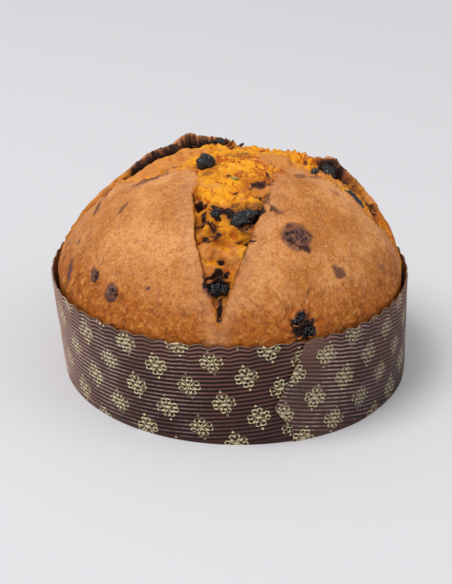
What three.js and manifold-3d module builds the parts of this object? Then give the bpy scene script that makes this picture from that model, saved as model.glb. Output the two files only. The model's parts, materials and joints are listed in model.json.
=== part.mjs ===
// A low panettone baked and sold in its paper mould. Millimetres, +Z up, origin on the
// surface it stands on, under the middle of the whole thing. -Y is the front, with the
// glued seam of the mould's band a little to the right of it.
//
// The mould is two pieces of corrugated paper: a strip wrapped into a band with a
// scalloped rim, and a disc whose turned-up edge is glued inside the band's foot. The
// loaf fills it and domes above it. Its crust was cut crosswise before baking and burst
// into four lobes with torn crumb between them. Raisins and a sliver of candied peel
// sit in pockets of the loaf.
import * as THREE from 'three';
import { mergeVertices } from 'three/addons/utils/BufferGeometryUtils.js';
import Module from 'manifold-3d';

const wasm = await Module();
wasm.setup();

// ---- Driving dimensions, in millimetres and degrees ----
const clearance = 0.3; // left between pieces that touch

const rimRadius = 105;
const footRadius = 102.4;
const mouldHeight = 62.9;
const mouldLean = 4; // how far the rim stands towards -X of the foot
const rimCentreX = -0.7;
const bandThickness = 1.1;
const scallopCount = 61;
const scallopDepth = 1.7;
const bandSegments = 244;

const flapThickness = 0.8;
const flapGlueDepth = 0.25; // the flap's inner face is sunk this far into the band
const flapRootBearing = 42; // from the front towards +X, where the two layers part
const flapColumns = 12;
const flapRows = 10;
// The flap's free edge from foot to rim: height up the band, bearing from the front.
const flapEdge = [
  [0, 18.2], [10, 18.3], [12.3, 17], [18.3, 14.2], [23.2, 12.8],
  [26.8, 13.8], [35.1, 16.4], [45.7, 19], [53.2, 21.4], [64, 23.2],
];

const baseThickness = 0.8;
const flangeHeight = 9;
const flangeThickness = 0.6;
const baseSegments = 96;

const domeHeight = 62.2; // crown of the loaf above the mould's rim
const domePower = 2.92;
const domeFullness = 0.745;
const domeShiftX = 4; // the crown leans this far back towards +X
const shoulderRadius = 100.6;
const shoulderOffsetY = -2; // the loaf sits closer to the front of the band
const loafSegments = 84;
const domeRings = 24;
const wallRings = 5;
const footRounding = 7;
const footRoundingAngles = [0, 30, 60, 90];
const splitFade = 16; // height above the rim over which lobes and splits rise

const crumbDepth = 4.5; // of the torn crumb below the crust beside it
const crumbSlope = 6; // distance over which the surface drops from crust to crumb
const moundRadius = 30; // the crumb swells up again in the middle of the cross
const lipReach = 9; // how far in from its edge a lobe's crust is lifted

// Each lobe of crust seen from above, from the mould's rim in to the cross and back out.
const lobes = [
  {
    lift: 0.6,
    outline: [
      [-7, -130], [-7, -99], [-14, -86], [-20, -68], [-22, -36], [-20, -8], [-43, -10],
      [-63, 2], [-84, -2], [-130, 8], [-130, -130],
    ],
  },
  {
    lift: 0.4,
    outline: [
      [-5, -130], [-5, -99], [7, -80], [18, -51], [27, -6], [38, 2], [59, -13],
      [76, -22], [90, -14], [130, -14], [130, -130],
    ],
  },
  {
    lift: 5,
    outline: [
      [130, 0], [98, -2], [82, 11], [63, 24], [54, 27], [47, 24], [38, 42], [28, 68],
      [20, 130], [130, 130],
    ],
  },
  {
    lift: 7.5,
    outline: [
      [6, 130], [6, 70], [-5, 43], [-24, 38], [-46, 24], [-66, 14], [-100, 10],
      [-130, 14], [-130, 130],
    ],
  },
];

// Raisins and peel: where each lies on the dome (bearing from +X, reach from the crown
// at 0 to the shoulder at 1), its size along, across and through, its turn, and how far
// its middle stands above the crust.
const raisinDetail = 1;
const pocketMargin = 0.4;
const fruit = [
  ['raisin_crown', 182, 0.185, [11, 10.5, 9], 20, 2.6],
  ['raisin_split_large', 274, 0.525, [17, 10, 9], 35, 2.2],
  ['raisin_split_left', 256, 0.49, [9, 7, 6], 120, 1],
  ['raisin_split_low', 264.5, 0.85, [13, 8, 6], 0, -1],
  ['raisin_right_under_lip', 21, 0.56, [12, 9, 8], 100, 1.4],
  ['raisin_right_split', 12, 0.46, [8, 7, 6], 60, 0],
  ['raisin_right_long', 352.5, 0.66, [16, 7, 6], 140, 2],
  ['raisin_rim_upper', 292.5, 0.965, [7.5, 6.5, 5.5], 70, -0.6],
  ['raisin_rim_lower', 295.5, 0.993, [7, 6, 5], 10, -0.4],
  ['raisin_left_low', 227, 0.949, [10, 9, 6], 60, -0.8],
  ['raisin_left_small', 216.5, 0.932, [7, 4.5, 4.5], 80, -0.4],
  ['raisin_right_face', 298.5, 0.688, [16, 12, 6], 10, -1.8],
  ['raisin_lip_end', 106, 0.42, [8, 6.5, 5.5], 30, 1.2],
  ['raisin_back_left', 128, 0.86, [11, 8, 7], 70, -1.2],
  ['raisin_back_low', 84, 0.93, [13, 9, 7], 15, -0.6],
  ['raisin_back_right', 48, 0.78, [10, 8, 7], 110, -1],
  ['raisin_left_back', 150, 0.96, [10, 7, 6], 50, -1],
  ['candied_peel', 263, 0.17, [8, 3.5, 3], 15, 0.6],
];

// ---- Colours and finishes ----
const mouldPaper = { color: 0x53302f, roughness: 0.62, metalness: 0 };
const bakedCrust = { color: 0xb9763a, roughness: 0.7, metalness: 0 };
const raisinSkin = { color: 0x14100f, roughness: 0.35, metalness: 0 };
const candiedCitron = { color: 0x9a9a3c, roughness: 0.4, metalness: 0 };

// ---- Shared helpers ----
const toRadians = THREE.MathUtils.degToRad;
const lerp = THREE.MathUtils.lerp;

// Welds a geometry's shared corners and drops the flat triangles at a lathe's poles.
function weld(geometry) {
  geometry.deleteAttribute('normal');
  geometry.deleteAttribute('uv');
  const merged = mergeVertices(geometry, 1e-4);
  const corners = merged.index.array;
  const kept = [];
  for (let i = 0; i < corners.length; i += 3) {
    const [a, b, c] = [corners[i], corners[i + 1], corners[i + 2]];
    if (a !== b && b !== c && c !== a) {
      kept.push(a, b, c);
    }
  }
  merged.setIndex(kept);
  return merged;
}

// Moves every corner of a geometry to where the given function puts it.
function reshape(geometry, place) {
  const position = geometry.attributes.position;
  const corner = new THREE.Vector3();
  for (let i = 0; i < position.count; i += 1) {
    corner.fromBufferAttribute(position, i);
    place(corner);
    position.setXYZ(i, corner.x, corner.y, corner.z);
  }
  return geometry;
}

function toSolid(geometry) {
  const vertProperties = new Float32Array(geometry.attributes.position.array);
  const triVerts = new Uint32Array(geometry.index.array);
  return new wasm.Manifold(new wasm.Mesh({ numProp: 3, vertProperties, triVerts }));
}

function fromSolid(solid) {
  const mesh = solid.getMesh();
  const geometry = new THREE.BufferGeometry();
  geometry.setAttribute('position', new THREE.BufferAttribute(mesh.vertProperties, 3));
  geometry.setIndex(new THREE.BufferAttribute(mesh.triVerts, 1));
  return geometry;
}

// A lathe about +Z from a profile of [radius, height] points.
function turn(profile, segments) {
  const points = profile.map(([radius, height]) => new THREE.Vector2(radius, height));
  const geometry = new THREE.LatheGeometry(points, segments);
  geometry.rotateX(Math.PI / 2);
  return geometry;
}

function named(name, geometry, finish) {
  const mesh = new THREE.Mesh(geometry, new THREE.MeshStandardMaterial(finish));
  mesh.name = name;
  return mesh;
}

// ---- The mould's form: a leaning, slightly flared cylinder ----
const mouldRadius = (height) => lerp(footRadius, rimRadius, height / mouldHeight);
const mouldCentreX = (height) => rimCentreX + mouldLean * (1 - height / mouldHeight);

// The cut rim rises and falls in shallow scallops; the bearing is from the front.
function rimHeight(bearing) {
  const wave = Math.abs(Math.sin((toRadians(bearing) * scallopCount) / 2));
  return mouldHeight - scallopDepth * (1 - wave);
}

// A point on the mould from its bearing, its height and how far it stands out.
function onMould(bearing, height, outward) {
  const radius = mouldRadius(height) + outward;
  const angle = toRadians(bearing);
  return new THREE.Vector3(
    mouldCentreX(height) + radius * Math.sin(angle),
    -radius * Math.cos(angle),
    height,
  );
}

// ---- Paper band ----
function bandRing() {
  const profile = [[1, 0], [2, 0], [2, 1], [1, 1], [1, 0]];
  return reshape(turn(profile, bandSegments), (corner) => {
    const bearing = THREE.MathUtils.radToDeg(Math.atan2(corner.x, -corner.y));
    const outer = Math.hypot(corner.x, corner.y) > 1.5;
    const height = corner.z > 0.5 ? rimHeight(bearing) : 0;
    corner.copy(onMould(bearing, height, outer ? 0 : -bandThickness));
  });
}

// Bearing of the flap's free edge at a height, from its outline.
function flapEdgeBearing(height) {
  const next = flapEdge.findIndex(([level]) => level > height);
  const [low, high] = [flapEdge[next - 1], flapEdge[next]];
  return lerp(low[1], high[1], (height - low[0]) / (high[0] - low[0]));
}

// The strip's outer end, lapped over its start and glued to it.
function bandFlap() {
  const box = new THREE.BoxGeometry(1, 1, 1, flapColumns, 1, flapRows);
  return reshape(box, (corner) => {
    const across = corner.x + 0.5;
    const up = corner.z + 0.5;
    const edge = flapEdgeBearing(up * mouldHeight);
    const bearing = lerp(edge, flapRootBearing, across);
    const height = up * rimHeight(bearing);
    const sunk = -flapGlueDepth;
    const proud = lerp(flapThickness, 0, across ** 4);
    corner.copy(onMould(bearing, height, corner.y < 0 ? proud : sunk));
  });
}

function paperBand() {
  const ring = toSolid(weld(bandRing()));
  const flap = toSolid(weld(bandFlap()));
  return named('paper_band', fromSolid(ring.add(flap)), mouldPaper);
}

// ---- Paper base, a disc with its edge turned up inside the band ----
function paperBase() {
  const outward = -bandThickness - clearance;
  const profile = [[0, 0], [2, 0], [2, 2], [1, 2], [1, 1], [0, 1]];
  const heights = [0, baseThickness, flangeHeight];
  const disc = reshape(turn(profile, baseSegments), (corner) => {
    const ring = Math.round(Math.hypot(corner.x, corner.y));
    const bearing = THREE.MathUtils.radToDeg(Math.atan2(corner.x, -corner.y));
    const height = heights[Math.round(corner.z)];
    if (ring === 0) {
      corner.set(mouldCentreX(height), 0, height);
    } else {
      corner.copy(onMould(bearing, height, ring === 2 ? outward : outward - flangeThickness));
    }
  });
  return named('paper_base', weld(disc), mouldPaper);
}

// ---- Loaf ----

// Inside the band the loaf takes the mould's form, clear of the paper and the flange.
// Towards the rim it draws in to its narrower shoulder. The bearing is from +X.
function wallPoint(bearing, height, inset) {
  const drawnIn = THREE.MathUtils.smoothstep(height, mouldHeight / 2, mouldHeight);
  const paper = bandThickness + flangeThickness + 2 * clearance;
  const radius = lerp(mouldRadius(height) - paper, shoulderRadius, drawnIn) - inset;
  const angle = toRadians(bearing);
  return new THREE.Vector3(
    mouldCentreX(height) + radius * Math.cos(angle),
    shoulderOffsetY * drawnIn + radius * Math.sin(angle),
    height,
  );
}

// A point of the smooth dome: reach is 0 at the crown and 1 at the shoulder.
function domePoint(bearing, reach) {
  const rise = Math.max(1 - reach ** domePower, 0) ** domeFullness;
  const radius = reach * shoulderRadius;
  const angle = toRadians(bearing);
  return new THREE.Vector3(
    rimCentreX + radius * Math.cos(angle) + domeShiftX * rise,
    shoulderOffsetY + radius * Math.sin(angle),
    mouldHeight + domeHeight * rise,
  );
}

// Distance from a point to a lobe's outline seen from above, positive inside it.
function insideBy(x, y, outline) {
  let nearest = Infinity;
  let inside = false;
  outline.forEach(([x1, y1], i) => {
    const [x2, y2] = outline[(i + 1) % outline.length];
    const [alongX, alongY] = [x2 - x1, y2 - y1];
    const part = ((x - x1) * alongX + (y - y1) * alongY) / (alongX ** 2 + alongY ** 2);
    const at = THREE.MathUtils.clamp(part, 0, 1);
    nearest = Math.min(nearest, Math.hypot(x - x1 - at * alongX, y - y1 - at * alongY));
    if (y1 > y !== y2 > y && x < x1 + (alongX * (y - y1)) / alongY) {
      inside = !inside;
    }
  });
  return inside ? nearest : -nearest;
}

// How far the burst crust stands above the smooth dome, or the crumb below it.
function burst(x, y) {
  let depth = -Infinity;
  let lift = 0;
  for (const lobe of lobes) {
    const inside = insideBy(x - rimCentreX, y, lobe.outline);
    if (inside > depth) {
      depth = inside;
      lift = lobe.lift;
    }
  }
  const lip = lift * Math.exp(-((depth / lipReach) ** 2));
  const torn = THREE.MathUtils.smoothstep(-depth, 0, crumbSlope);
  const mound = Math.exp(-((Math.hypot(x, y) / moundRadius) ** 2));
  return depth > 0 ? lip : lerp(lip, -crumbDepth * (1 - mound), torn);
}

// The dome with its lobes and splits, which die out at the shoulder.
function crustPoint(bearing, reach) {
  const point = domePoint(bearing, reach);
  const fade = THREE.MathUtils.smoothstep(point.z, mouldHeight, mouldHeight + splitFade);
  point.z += burst(point.x, point.y) * fade;
  return point;
}

// The loaf's rings from the middle of its foot to the crown, each a function of bearing.
function loafRings() {
  const foot = baseThickness + clearance;
  const rings = [() => new THREE.Vector3(mouldCentreX(foot), 0, foot)];
  for (const angle of footRoundingAngles) {
    const inset = footRounding * (1 - Math.sin(toRadians(angle)));
    const height = foot + footRounding * (1 - Math.cos(toRadians(angle)));
    rings.push((bearing) => wallPoint(bearing, height, inset));
  }
  for (let ring = 1; ring < wallRings; ring += 1) {
    const height = lerp(foot + footRounding, mouldHeight, ring / wallRings);
    rings.push((bearing) => wallPoint(bearing, height, 0));
  }
  for (let ring = domeRings; ring >= 0; ring -= 1) {
    const reach = Math.sin((ring / domeRings) * (Math.PI / 2));
    rings.push((bearing) => crustPoint(bearing, reach));
  }
  return rings;
}

// A lathe of unit rings, one above the other, is moved ring by ring onto the loaf.
function loafBody() {
  const rings = loafRings();
  const last = rings.length - 1;
  const profile = rings.map((ring, i) => [i === 0 || i === last ? 0 : 1, i]);
  const body = reshape(turn(profile, loafSegments), (corner) => {
    const bearing = THREE.MathUtils.radToDeg(Math.atan2(corner.y, corner.x));
    corner.copy(rings[Math.round(corner.z)](bearing));
  });
  return toSolid(weld(body));
}

// ---- Raisins and peel ----

// Turns and moves a shape so that its +Z stands square to the crust where it lies.
function fruitPlace(bearing, reach, turned, proud) {
  const step = 0.01;
  const point = crustPoint(bearing, reach);
  const outward = domePoint(bearing, reach + step).sub(domePoint(bearing, reach - step));
  const around = domePoint(bearing + 1, reach).sub(domePoint(bearing - 1, reach));
  const normal = outward.cross(around).normalize();
  const upright = new THREE.Quaternion().setFromUnitVectors(new THREE.Vector3(0, 0, 1), normal);
  const spun = new THREE.Quaternion().setFromAxisAngle(normal, toRadians(turned));
  const place = new THREE.Matrix4().makeRotationFromQuaternion(spun.multiply(upright));
  return place.setPosition(point.addScaledVector(normal, proud));
}

// A dried fruit's rounded, unevenly shrunk body, grown all round by a margin.
function driedFruit([length, width, thickness], seed, margin) {
  const ball = new THREE.IcosahedronGeometry(1, raisinDetail);
  return reshape(ball, (corner) => {
    const shrink = 1 - 0.12 * Math.sin(5 * corner.x + 3 * corner.y + 4 * corner.z + seed);
    corner.multiplyScalar(shrink);
    corner.x *= length / 2 + margin;
    corner.y *= width / 2 + margin;
    corner.z *= thickness / 2 + margin;
  });
}

// ---- The whole panettone ----
const panettone = new THREE.Group();
panettone.name = 'panettone';
panettone.add(paperBand());
panettone.add(paperBase());

let loaf = loafBody();
fruit.forEach(([name, bearing, reach, size, turned, proud], i) => {
  const finish = name === 'candied_peel' ? candiedCitron : raisinSkin;
  const place = fruitPlace(bearing, reach, turned, proud);
  const piece = named(name, weld(driedFruit(size, i, 0)), finish);
  piece.applyMatrix4(place);
  panettone.add(piece);
  const pocket = driedFruit(size, i, pocketMargin).applyMatrix4(place);
  loaf = loaf.subtract(toSolid(weld(pocket)));
});
panettone.add(named('loaf', fromSolid(loaf), bakedCrust));

export default panettone;
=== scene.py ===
# A low panettone in its paper baking mould: a scalloped band of corrugated printed paper
# glued to a paper base, and the loaf that was baked in it, whose crosswise cut burst open
# into four lobes of crust with torn crumb and raisins between them.
import itertools
import json
import math
from functools import partialmethod

import bmesh
import bpy
import numpy as np
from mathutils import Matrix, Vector

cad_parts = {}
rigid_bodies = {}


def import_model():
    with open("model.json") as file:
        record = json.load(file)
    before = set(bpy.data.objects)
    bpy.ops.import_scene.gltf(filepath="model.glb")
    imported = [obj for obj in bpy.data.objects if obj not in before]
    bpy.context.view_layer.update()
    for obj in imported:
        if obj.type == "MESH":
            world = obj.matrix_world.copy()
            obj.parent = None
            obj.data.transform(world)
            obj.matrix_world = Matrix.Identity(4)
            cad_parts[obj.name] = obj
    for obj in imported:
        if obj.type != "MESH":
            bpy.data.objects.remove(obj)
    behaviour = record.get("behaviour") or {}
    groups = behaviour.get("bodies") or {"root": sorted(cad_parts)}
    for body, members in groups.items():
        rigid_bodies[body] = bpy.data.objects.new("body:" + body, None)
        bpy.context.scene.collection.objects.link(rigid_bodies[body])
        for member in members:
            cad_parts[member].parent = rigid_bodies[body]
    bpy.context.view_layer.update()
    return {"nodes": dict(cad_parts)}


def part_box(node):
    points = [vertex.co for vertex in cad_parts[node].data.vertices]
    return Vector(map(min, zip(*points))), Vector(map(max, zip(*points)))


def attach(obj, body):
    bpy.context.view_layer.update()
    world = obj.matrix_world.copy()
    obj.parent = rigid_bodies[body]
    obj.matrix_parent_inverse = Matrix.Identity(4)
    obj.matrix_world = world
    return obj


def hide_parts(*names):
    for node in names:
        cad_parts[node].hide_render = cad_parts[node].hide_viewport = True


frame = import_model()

mm = 0.001

# ---- Camera ----
# A long lens a metre away, looking some 26 degrees down on the loaf's front, and turned a
# touch on its own axis. Its places are in metres.
camera_lens = 100
camera_distance = 0.9586
camera_elevation = math.radians(25.65)
camera_roll = math.radians(0.73)
camera_aim = Vector((-0.0027, -0.0066, 0.0464))
camera_place = Vector((-0.0007, -0.0002, 0.06))

lens = bpy.data.cameras.new("camera")
lens.lens = camera_lens
camera = bpy.data.objects.new("camera", lens)
bpy.context.collection.objects.link(camera)
back = Vector((0, -math.cos(camera_elevation), math.sin(camera_elevation)))
camera.location = camera_place + back * camera_distance
turn = (camera_aim - camera.location).to_track_quat("-Z", "Y").to_matrix().to_4x4()
camera.rotation_euler = (turn @ turn.Rotation(camera_roll, 4, "Z")).to_euler()
bpy.context.scene.camera = camera

# ---- Floor and studio light ----
# A pale sheet of paper to stand on, one broad lamp high on the left, a weak one on the
# right and even light from all round.
floor_side = 8
floor_colour = (0.76, 0.755, 0.775, 1)
room_light = 0.5
room_colour = (0.97, 0.98, 1, 1)
lamps = [
    # name, place, side, power
    ("key", (-1.05, -0.62, 2.45), 1.4, 42),
    ("fill", (1.8, -0.6, 1.6), 1.6, 7),
]


class Wire:
    """A value on its way between two shader nodes. Sums written with it add Math nodes."""

    def __init__(self, finish, socket):
        self.finish = finish
        self.socket = socket

    def math(self, operation, *values):
        return self.finish.node("Math", {"operation": operation}, values)

    def joined(self, operation, *others):
        return self.math(operation, self, *others)

    __add__ = __radd__ = partialmethod(joined, "ADD")
    __sub__ = partialmethod(joined, "SUBTRACT")
    __mul__ = __rmul__ = partialmethod(joined, "MULTIPLY")
    __truediv__ = partialmethod(joined, "DIVIDE")
    __pow__ = partialmethod(joined, "POWER")
    __abs__ = partialmethod(joined, "ABSOLUTE")
    over = partialmethod(joined, "MAXIMUM")
    under = partialmethod(joined, "MINIMUM")
    nearest_whole = partialmethod(joined, "ROUND")

    def __rsub__(self, other):
        return self.math("SUBTRACT", other, self)

    def rise(self, low, high):
        """0 below low and 1 above high, smooth between them; falls where low is above high."""
        settings = {"interpolation_type": "SMOOTHSTEP"}
        return self.finish.node("MapRange", settings, (self, low, high))

    def wave(self):
        """1 at every whole number and -1 halfway between two of them."""
        return self.math("COSINE", self * (2 * math.pi))

    def wrapped(self, period):
        """How far it is from the nearest whole number of periods, with its sign."""
        return self.math("WRAP", self / period, 0.5, -0.5) * period


class Finish:
    """A material built node by node, whose shader is the Principled one."""

    def __init__(self, name, **constants):
        self.material = bpy.data.materials.new(name)
        self.material.use_nodes = True
        self.tree = self.material.node_tree
        self.shader = self.tree.nodes["Principled BSDF"]
        for socket, value in constants.items():
            self.shader.inputs[socket.replace("_", " ")].default_value = value
        self.place = self.node("TexCoord", out="Object")

    def node(self, kind, settings=None, sockets=(), out=0):
        made = self.tree.nodes.new("ShaderNode" + kind)
        for name, value in (settings or {}).items():
            setattr(made, name, value)
        named = sockets.items() if isinstance(sockets, dict) else enumerate(sockets)
        for key, value in named:
            if isinstance(value, Wire):
                self.tree.links.new(value.socket, made.inputs[key])
            else:
                made.inputs[key].default_value = value
        return Wire(self, made.outputs[out])

    def blend(self, first, second, share):
        """The first colour turning into the second as the share goes from 0 to 1."""
        sockets = {0: share, 6: (*first, 1) if isinstance(first, tuple) else first,
                   7: (*second, 1) if isinstance(second, tuple) else second}
        return self.node("Mix", {"data_type": "RGBA"}, sockets, out=2)

    def coats(self, colour, *coats):
        """A colour with others laid over it one by one, each with its share."""
        for coat, share in coats:
            colour = self.blend(colour, coat, share)
        return colour

    def grain(self, size, detail=2, roughness=0.5, distortion=0, stretch=None):
        """Noise from 0 to 1 with features of about this size in metres."""
        place = self.place
        if stretch:
            place = self.node("Mapping", None, {"Vector": place, "Scale": stretch})
        return self.node("TexNoise", None, {"Vector": place, "Scale": 1 / size, "Detail": detail,
                                            "Roughness": roughness, "Distortion": distortion})

    def field(self, name):
        """A value that the mesh carries at its vertices."""
        settings = {"attribute_type": "GEOMETRY", "attribute_name": name}
        return self.node("Attribute", settings, out="Fac")

    def bump(self, height, depth, under=None):
        """The normal of a surface that this height, from 0 to 1, raises by up to depth."""
        sockets = {"Strength": 1.0, "Distance": depth, "Height": height}
        if under:
            sockets["Normal"] = under
        return self.node("Bump", None, sockets, out="Normal")

    def set(self, **wires):
        for socket, wire in wires.items():
            self.tree.links.new(wire.socket, self.shader.inputs[socket.replace("_", " ")])
        return self.material


def finished_mesh(shape):
    """The mesh that a bmesh stands for; the bmesh is used up."""
    mesh = bpy.data.meshes.new("mesh")
    shape.to_mesh(mesh)
    shape.free()
    return mesh


def make_piece(name, mesh, *materials):
    """Puts a finished mesh in the scene as a smooth-shaded object."""
    mesh.name = name
    mesh.shade_smooth()
    for material in materials:
        mesh.materials.append(material)
    piece = bpy.data.objects.new(name, mesh)
    bpy.context.collection.objects.link(piece)
    return piece


sheet = bmesh.new()
bmesh.ops.create_grid(sheet, x_segments=2, y_segments=2, size=floor_side / 2)
floor_finish = Finish("floor_paper", Base_Color=floor_colour, Roughness=0.9)
floor = make_piece("floor", finished_mesh(sheet), floor_finish.material)

for name, place, side, power in lamps:
    light = bpy.data.lights.new(name, "AREA")
    light.size = side
    light.energy = power
    lamp = bpy.data.objects.new(name, light)
    bpy.context.collection.objects.link(lamp)
    lamp.location = place
    lamp.rotation_euler = (-Vector(place)).to_track_quat("-Z", "Y").to_euler()

room = bpy.data.worlds.new("room")
room.use_nodes = True
room.node_tree.nodes["Background"].inputs["Color"].default_value = room_colour
room.node_tree.nodes["Background"].inputs["Strength"].default_value = room_light
bpy.context.scene.world = room
bpy.context.scene.view_settings.view_transform = "Standard"

# ---- Paper band ----
# One strip of dark plum corrugated paper, printed with pale gold rosettes, wrapped round
# into a slightly flaring ring and glued where its end laps over its start, to the right
# of the front. The rim is cut in scallops and leans towards -X of the foot.
band_low, band_high = (Vector(corner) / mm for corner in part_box("paper_band"))
mould_height = 62.9
rim_radius = (band_high.y - band_low.y) / 2
foot_radius = rim_radius - 2.6
rim_centre_x = band_low.x + rim_radius
mould_lean = 4
lap_start = 34  # bearing of the strip's hidden start, from the front towards +X
lap_lift = 1.0  # the end lies this far out on top of the start
# The strip's free end from foot to rim: height up the band, bearing from the front.
lap_end = [
    (0, 18.2), (10, 18.3), (12.3, 17), (18.3, 14.2), (23.2, 12.8),
    (26.8, 13.8), (35.1, 16.4), (45.7, 19), (53.2, 21.4), (64, 23.2),
]
scallop_count = 61
scallop_depth = 1.7
flute_pitch = 2.6
flute_depth = 0.9
flute_slope_start = math.radians(8)  # up to the right, at the strip's start
flute_slope_end = math.radians(-14)
foot_flattened = 3.5  # height up to which the flutes are crushed at the foot
flap_bearing = 334  # degrees round by the left, past which the flap's top is pressed flat
wobble_length = 650  # once round the mould, for the strip's unevenness
strip_columns = 372
strip_rows = 128
paper_thickness = 0.4
print_turn_start = math.radians(15.7)  # of the rosettes' rows against the foot
print_turn_end = math.radians(-18.1)
strip_radius = 103.9  # of the ring that the strip's flat shape is measured on
lap_end_mean = 17  # bearing that stands for the whole slanting end
strip_length = math.radians(lap_start + 360 - lap_end_mean) * strip_radius
rosette_spacing = (33.75, 26.45)  # along a row and between every second row
rosette_first = (7.8, 2.5)


def smoothstep(values, low, high):
    part = np.clip((values - low) / (high - low), 0, 1)
    return part * part * (3 - 2 * part)


def bell(values, width):
    return np.exp(-(values / width) ** 2)


def noise_field(seed):
    """Smooth noise from -1 to 1, read at points for features of a given size."""
    draw = np.random.default_rng(seed)
    slopes = draw.normal(size=(32, 32, 32, 3))
    slopes *= 1.7 / np.linalg.norm(slopes, axis=3, keepdims=True)
    turn = np.linalg.qr(draw.normal(size=(3, 3)))[0]

    def at(points, size):
        cells = points @ turn / size
        low = np.floor(cells).astype(int)
        part = cells - low
        share_up = part * part * part * (part * (part * 6 - 15) + 10)
        total = np.zeros(len(points))
        for corner in itertools.product((0, 1), repeat=3):
            share = np.where(corner, share_up, 1 - share_up).prod(axis=1)
            slope = slopes[tuple(((low + corner) % 32).T)]
            total += share * ((part - corner) * slope).sum(axis=1)
        return total

    return at


def mould_radius(height):
    return foot_radius + (rim_radius - foot_radius) * height / mould_height


def mould_centre_x(height):
    return rim_centre_x + mould_lean * (1 - height / mould_height)


def on_mould(bearing, height, outward):
    """Points on the mould's outside; the bearing, in degrees, runs from the front to +X."""
    angle = np.radians(bearing)
    radius = mould_radius(height) + outward
    return np.stack([mould_centre_x(height) + radius * np.sin(angle),
                     -radius * np.cos(angle), height], axis=1)


def read_points(mesh):
    points = np.empty(len(mesh.vertices) * 3, np.float32)
    mesh.vertices.foreach_get("co", points)
    return points.reshape(-1, 3).astype(float)


def write_points(mesh, points):
    """Moves the vertices to these places, given in millimetres."""
    mesh.vertices.foreach_set("co", (points * mm).astype(np.float32).ravel())
    mesh.update()


def write_fields(mesh, **fields):
    """Gives the mesh these values, one at each vertex, for its materials to read."""
    for name, values in fields.items():
        layer = mesh.attributes.new(name, "FLOAT", "POINT")
        layer.data.foreach_set("value", values.astype(np.float32))


def grid_mesh(columns, rows):
    """A sheet of square faces from -1 to 1 each way."""
    sheet = bmesh.new()
    bmesh.ops.create_grid(sheet, x_segments=columns, y_segments=rows, size=1)
    return finished_mesh(sheet)


def shape_strip(mesh):
    """Bends the flat sheet round the mould and presses in its flutes."""
    across, up = ((read_points(mesh)[:, :2] + 1) / 2).T
    across = 1 - across
    up_band = up * mould_height
    heights, bearings = np.array(lap_end).T
    end = np.interp(up_band, heights, bearings) - 360
    bearing = lap_start + across * (end - lap_start)
    scallop = 1 - np.abs(np.sin(np.radians(bearing) * scallop_count / 2))
    height = up_band - up**6 * scallop_depth * scallop

    # The flutes climb along the strip and sway a little.
    turned = (lap_start - bearing) / 360
    middle = flute_slope_start * turned
    middle += (flute_slope_end - flute_slope_start) * turned**2 / 2
    climb = -2 * math.pi * rim_radius * middle
    wobble = noise_field(3)
    along = np.stack([turned * wobble_length, up_band, 0 * up], axis=1)
    phase = (up_band - climb) / flute_pitch + 0.06 * wobble(along, 24)
    flute = np.cos(2 * math.pi * phase)

    # 1 where the flutes are whole and 0 where they are crushed flat.
    crush = smoothstep(up_band, foot_flattened * 0.3, foot_flattened)
    crush *= 1 - 0.25 * smoothstep(wobble(along / [1, 2, 1], 34), 0.3, 0.8)
    flap_corner = smoothstep(-bearing, flap_bearing - 8, flap_bearing) * smoothstep(up_band, 48, 56)
    crush *= 1 - 0.7 * flap_corner

    # The end climbs on to the start, its last edge stands off, and the rim sways in and out.
    lift = lap_lift * smoothstep(-bearing, 302, 321) + 0.35 * smoothstep(across, 0.985, 1)
    sway = 0.5 * wobble(along, 60) * smoothstep(up_band, 20, 60)
    outward = lift + sway + (flute - 1) * flute_depth / 2 * crush - (1 - crush) * 0.2
    write_points(mesh, on_mould(bearing, height, outward))
    write_fields(mesh, phase=phase, crush=crush, bearing=bearing, height=up_band / mould_height)

    # The print follows the strip's own flat shape, an arc of a wide ring.
    travel = turned * 2 * math.pi * strip_radius
    curl = (print_turn_start - print_turn_end) / strip_length
    turn = print_turn_start - curl * travel
    flat_x = (math.sin(print_turn_start) - np.sin(turn)) / curl - up_band * np.sin(turn)
    flat_y = (np.cos(turn) - math.cos(print_turn_start)) / curl + up_band * np.cos(turn)
    write_fields(mesh, print_x=flat_x - rosette_first[0], print_y=flat_y - rosette_first[1])


def reach_of(x, y):
    return (x * x + y * y) ** 0.5


def line_gap(x, y, start, end):
    """Distance from a straight stroke between two points."""
    run = (end[0] - start[0], end[1] - start[1])
    length = run[0] ** 2 + run[1] ** 2
    part = ((x - start[0]) * (run[0] / length) + (y - start[1]) * (run[1] / length))
    part = part.over(0).under(1)
    return reach_of(x - start[0] - part * run[0], y - start[1] - part * run[1])


def rosette(finish):
    """1 where the gold ink lies: four heart-shaped petals round a blob, with fine strokes
    between them and a dot above and below. All in millimetres from a rosette's middle."""
    half_row = rosette_spacing[1] / 2
    half_ink = 0.46
    x, y = finish.field("print_x"), finish.field("print_y")
    row = (y / half_row).nearest_whole()
    y = y - row * half_row
    odd = abs(row.wrapped(2))
    x = (x + odd * (rosette_spacing[0] / 2)).wrapped(rosette_spacing[0])
    wide, tall = abs(x), abs(y) * 1.12

    # One eighth of the rosette, from a petal's middle to the gap beside it, is drawn.
    out, side = wide.over(tall), wide.under(tall)
    ring = abs(reach_of(out - 4.9, side - 1.5) - 1.4)
    hidden = (5 - out).under(1.5 - side).rise(0, 0.2)
    petal = ring + hidden * 9
    flank = line_gap(out, side, (1.5, 0.55), (4.2, 2.75))
    curl = line_gap(out, side, (5.0, 0.1), (3.7, 0.55))
    stroke = line_gap(out, side, (2.5, 2.0), (3.5, 2.75))
    centre = reach_of(x, y) - 0.9
    dots = reach_of(wide - rosette_spacing[0] / 2, abs(y) - 5.6) - 0.35
    ink = petal.under(flank).under(curl).under(stroke + 0.06).under(centre).under(dots)
    return ink.rise(half_ink, 0.2)


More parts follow.
